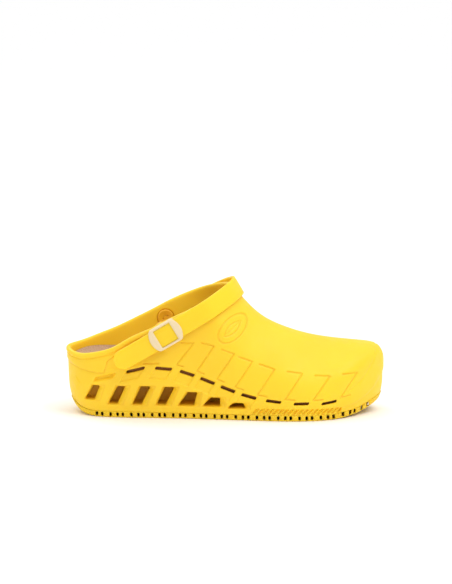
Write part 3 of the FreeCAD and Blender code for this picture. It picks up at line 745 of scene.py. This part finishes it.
def elastomer(name, colour, painted_shade, rough=0.45, grain=1.0, glow=0.25):
    """Moulded soft rubber: matt grain, faint flow marks, rubbed spots, and painted shade: darker inside
    openings and along creases.
    """
    material = bpy.data.materials.new(name)
    n = Nodes(material)
    flow = n.noise(18, 2)
    tone = n.ramp(flow, [(0.3, scaled(colour, 0.95)), (0.7, scaled(colour, 1.03))])
    # the depth and crease attributes hold painted shade, stored on the points by keep()
    depth = n.new("ShaderNodeAttribute", attribute_name="depth").outputs["Fac"]
    painted_crease_shade = n.new("ShaderNodeAttribute", attribute_name="painted_crease_shade").outputs["Fac"]
    # painted shade in the strokes and along the frames: a darker, more orange copy of the colour
    crease_shade_colour = (0.80 * colour[0], 0.66 * colour[1], 0.5 * colour[2])
    tone = n.mix(n.maths("MULTIPLY", painted_crease_shade, 0.45), tone, crease_shade_colour)
    # painted shade: mixes toward the darker shade colour inside openings and sipes
    tone = n.mix(n.ramp(depth, [(0.02, (0, 0, 0)), (0.55, (1, 1, 1))]), tone, painted_shade)
    scuff = n.noise(150, 5, 0.7)
    roughness = n.ramp(scuff, [(0.35, (rough - 0.05,) * 3), (0.68, (rough + 0.13,) * 3)])
    grain_height = n.noise(2600, 2, 0.6)
    coarse = n.noise(420, 3, 0.6)
    normal = n.bump(coarse, 0.00006 * grain, 0.6)
    normal = n.bump(grain_height, 0.00004 * grain, 0.7, normal)
    n.finish(
        Base_Color=tone, Roughness=roughness, Normal=normal, Subsurface_Weight=glow,
        Subsurface_Radius=(1.0, 0.75, 0.05), Subsurface_Scale=0.004, Specular_IOR_Level=0.27,
    )
    return material


WEAVE_PITCH = 0.0011


def speckled(name, base, dark, light, weave=False, sheen=0.0):
    """Footbed foam or its woven cover, speckled in two tones."""
    material = bpy.data.materials.new(name)
    n = Nodes(material)
    cells = n.new("ShaderNodeTexVoronoi", Vector=n.place, Scale=900.0)
    dots = n.ramp(cells.outputs["Distance"], [(0.22, (1, 1, 1)), (0.42, (0, 0, 0))])
    pick = n.ramp(n.noise(520, 2), [(0.47, (0, 0, 0)), (0.55, (1, 1, 1))])
    tone = n.mix(n.noise(35, 3), scaled(base, 0.9), scaled(base, 1.1))
    tone = n.mix(n.maths("MULTIPLY", dots, pick), tone, dark)
    other = n.new("ShaderNodeTexVoronoi", Vector=n.place, Scale=640.0)
    flecks = n.ramp(other.outputs["Distance"], [(0.14, (1, 1, 1)), (0.3, (0, 0, 0))])
    tone = n.mix(n.maths("MULTIPLY", flecks, 0.7), tone, light)
    normal = n.bump(n.noise(1500, 3, 0.65), 0.00025, 0.8)
    if weave:
        split = n.new("ShaderNodeSeparateXYZ", Vector=n.place)
        ribs = [
            n.maths("SINE", n.maths("MULTIPLY", split.outputs[axis], 2 * math.pi / WEAVE_PITCH), 0.0)
            for axis in ("X", "Y")
        ]
        normal = n.bump(n.maths("MULTIPLY", ribs[0], ribs[1]), 0.00012, 0.6, normal)
    n.finish(Base_Color=tone, Roughness=0.9, Normal=normal, Sheen_Weight=sheen, Sheen_Roughness=0.5)
    return material


def plastic(name, colour, rough=0.32, glow=0.15):
    """Moulded hard plastic with faint flow marks and fine scratches."""
    material = bpy.data.materials.new(name)
    n = Nodes(material)
    tone = n.mix(n.noise(60, 3), scaled(colour, 0.93), colour)
    marks = n.new("ShaderNodeMapping", Vector=n.place, Scale=(400.0, 90.0, 2600.0))
    scratch = n.new("ShaderNodeTexNoise", Vector=marks.outputs[0], Scale=1.0, Detail=2.0).outputs["Fac"]
    roughness = n.ramp(scratch, [(0.4, (rough,) * 3), (0.7, (rough + 0.15,) * 3)])
    normal = n.bump(n.noise(1400, 3, 0.6), 0.00003, 0.5)
    n.finish(
        Base_Color=tone, Roughness=roughness, Normal=normal, Subsurface_Weight=glow,
        Subsurface_Radius=(1.0, 0.7, 0.4), Subsurface_Scale=0.003,
    )
    return material


YELLOW = (1.0, 0.645, 0.028)
# colour of the painted shade inside the windows and slots
PAINTED_SHADE_YELLOW = (0.6, 0.24, 0.008)
shell_skin = elastomer("yellow_elastomer", YELLOW, PAINTED_SHADE_YELLOW)
# its second colour is painted shade in the sipes
tread_skin = elastomer("yellow_tread", scaled(YELLOW, 0.95), (0.30, 0.11, 0.012), rough=0.55, grain=1.6)
strap_skin = elastomer("yellow_strap", (1.0, 0.66, 0.022), PAINTED_SHADE_YELLOW, rough=0.42, grain=0.8)
foam = speckled("footbed_foam", (0.30, 0.12, 0.03), (0.11, 0.04, 0.01), (0.40, 0.20, 0.07))
cover_cloth = speckled(
    "footbed_cloth", (0.50, 0.30, 0.17), (0.26, 0.14, 0.075), (0.72, 0.52, 0.37), weave=True, sheen=0.25
)
gel = elastomer("cushion_gel", (0.22, 0.24, 0.28), (0.05, 0.05, 0.06), rough=0.3, glow=0.3)
cream = plastic("cream_plastic", (0.86, 0.68, 0.42))
orange = plastic("orange_plastic", (0.98, 0.50, 0.012), rough=0.38)
ivory = plastic("ivory_plastic", (0.80, 0.72, 0.56), rough=0.45)


def keep(made, name, value):
    """Stores a number from 0 to 1 on each point."""
    mesh = made.data
    p = np.empty(len(mesh.vertices) * 3)
    mesh.vertices.foreach_get("co", p)
    p = p.reshape(-1, 3) / MM
    layer = mesh.attributes.new(name, "FLOAT", "POINT")
    layer.data.foreach_set("value", np.clip(value(*p.T), 0, 1))


# ---------------------------------------------------------------- moulding and tread
STEP = 1.5
LOW, HIGH = (-141, -54, -3), (141, 54, 122)
clog = piece(
    "clog_moulding", moulding, LOW, HIGH, STEP, shell_skin, "clog", ["upper_shell", "cage_sole"], "shell",
    passes=2, fine=(1.0, 0.42),
)


def opening_painted_shade(x, y, z):
    """Painted shade on the walls of the windows and slots: darker further in."""
    inward = -body(x, y, z) - 3.0
    in_window = windows(x, z) < 1.2
    in_slot = slots(x, z) < 1.0
    return np.where(in_window, np.clip(inward / 60.0, 0, 0.2), np.where(in_slot, (inward + 1.6) / 5.0, 0.0))


def crease_shade_amount(x, y, z):
    """Painted shade on the outside, in a stroke or along a frame's edge."""
    on_skin = np.abs(moulding(x, y, z)) < 0.5
    return np.where(on_skin & (body(x, y, z) > -2.5), crease_shade_chart(x, z), 0.0)


# painted shade: darker inside the windows and slots
keep(clog, "depth", opening_painted_shade)
# painted shade in the strokes and along the frames
keep(clog, "painted_crease_shade", crease_shade_amount)
tread = piece(
    "tread_sole", outsole_field, (-141, -54, -2), (141, 54, 24), 1.15, tread_skin, "clog", ["outsole"],
    "tread",
)


def sipe_painted_shade(x, y, z):
    """Painted shade in the sipes: most just inside the rim, less further in."""
    inward = -wall(x, y, z)
    dark = np.clip((inward - 1.0) / 2.5, 0, 1) * (1 - 0.75 * step_up(inward, 4.5, 7.0))
    return dark * (z > ground(x) + 0.4)


# painted shade in the sipes
keep(tread, "depth", sipe_painted_shade)


# ---------------------------------------------------------------- footbed
GAP = 0.5
BASE_LIFT, COVER_LIFT = 3.6, 4.8
DISH_RISE, DISH_REACH = 7.2, 30.0  # the heel's cup rises so much, so far from the middle line
DISH_END, DISH_FADE = -20, 22  # where the cup runs out, and over what length
SLOPE_SHARE = 1.05  # a height over a sloping face is about this much more than the distance
PAD_X = -98
PAD_ROUND = 21  # turns the share of the pad's oval into millimetres


def trough(x, y):
    """The deck, dished at the heel."""
    dish = DISH_RISE / (1 + np.exp((x - DISH_END) / DISH_FADE))
    return deck(x) + dish * (y / DISH_REACH) ** 2


def footbed(x, y, z, bottom, top, inset, edge):
    """The room between two heights inside the walls."""
    side = wall(x, y, z) + WALL + inset
    upper = (z - trough(x, y) - top) / SLOPE_SHARE
    lower = (bottom - z) / SLOPE_SHARE
    return smax(smax(side, upper, edge), lower, 0.4)


def base_field(x, y, z):
    """The foam, narrower underneath to the front and with a pocket for the heel pad."""
    undercut = 2.2 * step_up(x, -40, 20) * step_up(BASE_LIFT - 0.4 - (z - deck(x)), 0, 1.4)
    pad = (np.hypot((x - PAD_X) / 30.4, y / 21.4) - 1) * PAD_ROUND
    pad = np.maximum(pad, z - deck(x) - 2.1)
    return np.maximum(footbed(x, y, z, deck(x) + 0.05, BASE_LIFT, GAP + undercut, 0.8), -pad)


STRETCH = 3.0  # the thin cover is drawn flat and this much thicker, and then laid on the base


def cover_field(x, y, flat):
    """The cover before it is laid on the base, with a pressed ring and a seam."""
    side = wall(x, y, trough(x, y) + flat / STRETCH) + WALL
    ring = np.abs((np.hypot((x + 96) / 27.0, y / 20.0) - 1) * 20)
    seam = np.abs(side + 4.2)
    press = 0.3 * np.exp(-(np.minimum(ring, seam) / 0.9) ** 2)
    top = flat + (press - COVER_LIFT) * STRETCH
    return smax(smax(side + GAP + 0.05, top, 1.8), (BASE_LIFT + 0.02) * STRETCH - flat, 0.6)


def laid(p):
    """Lays the flat cover on the dished base."""
    x, y, flat = p.T
    return np.stack([x, y, trough(x, y) + flat / STRETCH], axis=1)


footbed_low, footbed_high = (-135, -48, 10), (135, 49, 66)
insole = piece(
    "footbed_base", base_field, footbed_low, footbed_high, 1.3, foam, "clog", ["insole_base"], "footbed",
)
cover = piece(
    "footbed_cover", cover_field, (-135, -48, 8), (135, 49, 18), 1.1, cover_cloth, "clog", ["insole_cover"],
    "footbed_cover", turn=laid,
)


CELL_PITCH = 6.5


def gel_field(x, y, z):
    """The heel pad, faintly bossed on top."""
    plan = (np.hypot((x - PAD_X) / 30.0, y / 21.0) - 1) * PAD_ROUND
    cells = 0.25 * np.cos(x * 2 * math.pi / CELL_PITCH) * np.cos(y * 2 * math.pi / CELL_PITCH)
    crown = z - deck(x) - 1.7 - cells + plan * 0.004
    return smax(smax(plan, crown, 1.2), deck(x) + 0.05 - z, 0.8)


heel_pad = piece(
    "heel_gel_pad", gel_field, (-131, -24, 37), (-65, 24, 48), 0.9, gel, "clog", ["heel_cushion"], "cushion",
)

# ---------------------------------------------------------------- strap and buckle
TILT = math.radians(30.8)
SHIFT = (PIVOT[0] - BUCKLE[0], PIVOT[1] - BUCKLE[1])
PIN_ALONG = SHIFT[0] * math.cos(TILT) + SHIFT[1] * math.sin(TILT)
PIN_UP = SHIFT[1] * math.cos(TILT) - SHIFT[0] * math.sin(TILT)
THICK, WIDTH, REACH, TAIL, STUB = 2.6, 17.0, 70.5, 50.5, 9.0
FACE = 41.2  # outer face of the washers
BACK_PLATE, FRONT_PLATE = 2.2, 1.4
LATERAL_Y = -(FACE + BACK_PLATE + 0.15 + THICK / 2)
MEDIAL_Y = FACE + THICK / 2
EYE_RADIUS = 3.05
STRAP_PATH = [  # the strap's middle line, along and across the clog, from the outer tail to the inner stub
    (-TAIL, -43.9), (-38, -44.2), (-26, -44.7), (-15, LATERAL_Y), (0, LATERAL_Y), (15, LATERAL_Y),
    (22, -44.6), (30, -43.9), (36.5, -42.8), (43, -40.6), (0.73 * REACH, -34.4),
    (0.845 * REACH, -26.4), (0.935 * REACH, -17.2), (REACH, 0), (0.935 * REACH, 17.2),
    (0.845 * REACH, 26.4), (0.73 * REACH, 34.4), (42.5, 40.0), (30, 41.9), (20, 42.4),
    (10, MEDIAL_Y), (0, MEDIAL_Y), (-STUB, MEDIAL_Y),
]
ribbon = Chart((-60, -56), (82, 54), 0.5)
u, v = ribbon.grid()
ribbon.values = to_line(u, v, [tuple(p) for p in spline(STRAP_PATH, count=160)])


def to_place(p):
    """From the strap's own frame to the clog's."""
    x, y, z = p.T
    along = BUCKLE[0] + x * math.cos(TILT) - z * math.sin(TILT)
    up = BUCKLE[1] + x * math.sin(TILT) + z * math.cos(TILT)
    return np.stack([along, y, up], axis=1)


def strap_field(x, y, z):
    """A flat band with round ends, a fine line along its edges and an eye for the inner pin."""
    half = WIDTH / 2
    across = np.abs(z) - half
    tail = np.where(x < half - TAIL, np.hypot(x + TAIL - half, z) - half, across)
    stub = np.where((x < half - STUB) & (y > 0), np.hypot(x + STUB - half, z) - half, across)
    flat = np.where(y < 0, tail, stub)
    thick = ribbon(x, y) - THICK / 2
    edge = 0.22 * np.exp(-((flat + 2.2) / 0.55) ** 2)
    skin = smax(thick + edge, flat, 1.5)
    eye = np.maximum(np.hypot(x - PIN_ALONG, z - PIN_UP) - EYE_RADIUS, 30 - y)
    return np.maximum(skin, -eye)


piece(
    "heel_strap", strap_field, (-56, -52, -10), (77, 48, 10), 0.85, strap_skin, "strap", ["strap"], "shell",
    turn=to_place,
)

DISC, PLATE = 14.7, 20.2  # the buckle's radius, and its width across the strap
CHANNEL = THICK + 0.3
DEPTH = BACK_PLATE + CHANNEL + FRONT_PLATE


def buckle_field(x, y, z):
    """A round plate cut off at two sides, with a channel for the strap and a seat for the pin."""
    out = -y - FACE  # distance outwards from the washer
    disc = np.hypot(x, z) - DISC
    sides = np.abs(z) - PLATE / 2
    crown = 0.5 * np.clip(1 - (np.hypot(x, z * 0.6) / DISC) ** 2, 0, 1)
    plan = smax(disc, sides, 1.2)
    block = smax(smax(plan, out - DEPTH + 0.45 - crown, 1.3), -out, 0.8)
    window = smax(np.abs(x) - 8.8, np.abs(z) - 8.9, 0.8) + 0.8 * np.clip(DEPTH - out, 0, 1.2)
    block = smax(block, -np.maximum(window, 3.6 - out), 0.7)
    channel = np.maximum.reduce([
        np.abs(z) - WIDTH / 2 - 0.3, BACK_PLATE - out, out - BACK_PLATE - CHANNEL,
    ])
    pin = np.hypot(x - PIN_ALONG, z - PIN_UP)
    seat = np.maximum(pin - 5.4, BACK_PLATE - 1.0 - out)
    eye = pin - EYE_RADIUS
    return np.maximum.reduce([block, -channel, -np.maximum(seat, out - 3.5), -np.maximum(eye, out - 3.5)])


piece(
    "slider_buckle", buckle_field, (-17, -51, -12.5), (17, -39, 12.5), 0.42, cream, "strap", ["buckle"],
    "buckle", turn=to_place,
)

# ---------------------------------------------------------------- rivets, spacers and buttons
SEAT_FLOOR = FACE + BACK_PLATE - 1.0
STRAP_OUTSIDE = FACE + THICK
BUTTON_THICK, NOSE_LENGTH, HEAD_THICK = 3.0, 2.0, 1.8
SMALL_STEP = 0.4


def round_piece(side, near, far, radius, cuts, edge=0.7):
    """A turned part on the pivot's axis between two distances from the middle, less its cuts."""

    def field(x, y, z):
        r = np.hypot(x - PIVOT[0], z - PIVOT[1])
        out = side * y
        shape = smax(r - radius, np.abs(out - (near + far) / 2) - (far - near) / 2, edge)
        for cut in cuts:
            shape = smax(shape, -cut(x - PIVOT[0], out, z - PIVOT[1], r), 0.4)
        return shape

    return field


def coin_slot(x, out, z, r):
    """A slot for a coin in the button's inner face."""
    along, over = x * 0.8 + z * 0.6, z * 0.8 - x * 0.6
    return np.maximum.reduce([np.abs(along) - 3.0, np.abs(over) - 0.6, out - BOSS_BACK + 1.4])


def button_dish(x, out, z, r):
    """The shallow hollow in a button's inner face."""
    return out - (BOSS_BACK - BUTTON_THICK) - 0.9 * np.clip(1 - (r / 5.2) ** 2, 0, 1) + 3.0 * (r > 5.4)


def head_dish(x, out, z, r):
    """The shallow hollow in the inner pin's head."""
    return (STRAP_OUTSIDE + HEAD_THICK) - out - 0.6 * np.clip(1 - (r / 4.4) ** 2, 0, 1) + 3.0 * (r > 4.6)


def bore(x, out, z, r):
    """The hole that grips the pin's nose."""
    return np.maximum(r - 2.2, BOSS_BACK - NOSE_LENGTH - out)


def eye_of(x, out, z, r):
    """The hole in a spacer."""
    return r - PIN_RADIUS


def stepped_pin(side, head_near, head_far, head_radius, head_cuts):
    """A rivet: head, shank through the wall and a nose that the button grips."""
    head = round_piece(side, head_near, head_far, head_radius, head_cuts)
    shank = round_piece(side, BOSS_BACK, head_near + 0.5, PIN_RADIUS - 0.02, [], 0.3)
    nose = round_piece(side, BOSS_BACK - NOSE_LENGTH, BOSS_BACK + 0.5, 2.15, [], 0.3)
    return lambda x, y, z: np.minimum.reduce([head(x, y, z), shank(x, y, z), nose(x, y, z)])


for side, sign in (("lateral", -1), ("medial", 1)):
    low_x, low_z = PIVOT[0] - 10, PIVOT[1] - 10
    ends = sorted((sign * 30.5, sign * 47.0))
    low, high = (low_x, ends[0], low_z), (low_x + 20, ends[1], low_z + 20)
    piece(
        f"{side}_inner_button",
        round_piece(
            sign, BOSS_BACK - BUTTON_THICK, BOSS_BACK - 0.02, BUTTON_RADIUS, [coin_slot, button_dish, bore],
        ),
        low, high, SMALL_STEP, orange, "clog", [f"{side}_button"], "button",
    )
    piece(
        f"{side}_spacer", round_piece(sign, BOSS_FACE, FACE - 0.05, 5.8, [eye_of], 0.5),
        low, high, SMALL_STEP, ivory, "clog", [f"{side}_washer"], "washer",
    )
    if side == "lateral":
        rivet = stepped_pin(sign, SEAT_FLOOR + 0.05, SEAT_FLOOR + 0.95, 5.0, [])
        finish, slot_name = ivory, "pin"
    else:
        rivet = stepped_pin(sign, STRAP_OUTSIDE + 0.05, STRAP_OUTSIDE + HEAD_THICK, 6.0, [head_dish])
        finish, slot_name = orange, "button"
    piece(f"{side}_rivet", rivet, low, high, SMALL_STEP, finish, "clog", [f"{side}_pin"], slot_name)

# ---------------------------------------------------------------- floor, light and camera
bpy.ops.mesh.primitive_plane_add(size=30.0, location=(0, 0, 0))
floor = bpy.context.object
floor.name = "floor"
paper = bpy.data.materials.new("pale_paper")
sheet = Nodes(paper)
sheet.finish(Base_Color=(0.97, 0.97, 0.97, 1), Roughness=0.75, Specular_IOR_Level=0.15)
floor.data.materials.append(paper)

world = bpy.data.worlds.new("studio")
world.use_nodes = True
world.node_tree.nodes["Background"].inputs[0].default_value = (1, 1, 1, 1)
world.node_tree.nodes["Background"].inputs[1].default_value = 0.7
bpy.context.scene.world = world
bpy.context.scene.view_settings.view_transform = "Standard"


def softbox(name, place, size, power):
    """A soft lamp turned to the middle of the clog."""
    data = bpy.data.lights.new(name, "AREA")
    data.shape = "RECTANGLE"
    data.size, data.size_y = size
    data.energy = power
    made = bpy.data.objects.new(name, data)
    bpy.context.scene.collection.objects.link(made)
    made.location = place
    aim(made, (0, 0, 0.05))


def aim(made, target):
    """Turns a lamp or the camera to a place."""
    made.rotation_euler = (Vector(target) - Vector(made.location)).to_track_quat("-Z", "Y").to_euler()


softbox("key", (0.8, -0.7, 1.5), (0.8, 0.8), 6)
softbox("rim", (-0.9, 0.9, 1.1), (1.0, 0.6), 5)
sun = bpy.data.lights.new("sky", "SUN")
sun.energy = 1.15
sun.angle = math.radians(70)
sky = bpy.data.objects.new("sky", sun)
bpy.context.scene.collection.objects.link(sky)
sky.location = (0.5, -0.25, 2.0)
aim(sky, (0, 0, 0))

AZIMUTH, ELEVATION, DISTANCE = math.radians(1.2), math.radians(10), 2.2
camera_data = bpy.data.cameras.new("camera")
camera = bpy.data.objects.new("camera", camera_data)
bpy.context.scene.collection.objects.link(camera)
bpy.context.scene.camera = camera
TARGET = (0.0006, 0.0, 0.0525)
AIM = (0.0006, 0.0, 0.1042)  # the photograph leaves more room above the clog than under it
camera.location = (
    TARGET[0] + DISTANCE * math.sin(AZIMUTH) * math.cos(ELEVATION),
    TARGET[1] - DISTANCE * math.cos(AZIMUTH) * math.cos(ELEVATION),
    TARGET[2] + DISTANCE * math.sin(ELEVATION),
)
aim(camera, AIM)
camera_data.sensor_fit = "VERTICAL"
VIEW_HEIGHT = 0.5058  # metres of the picture's height at the clog
camera_data.angle = 2 * math.atan(VIEW_HEIGHT / 2 / DISTANCE)
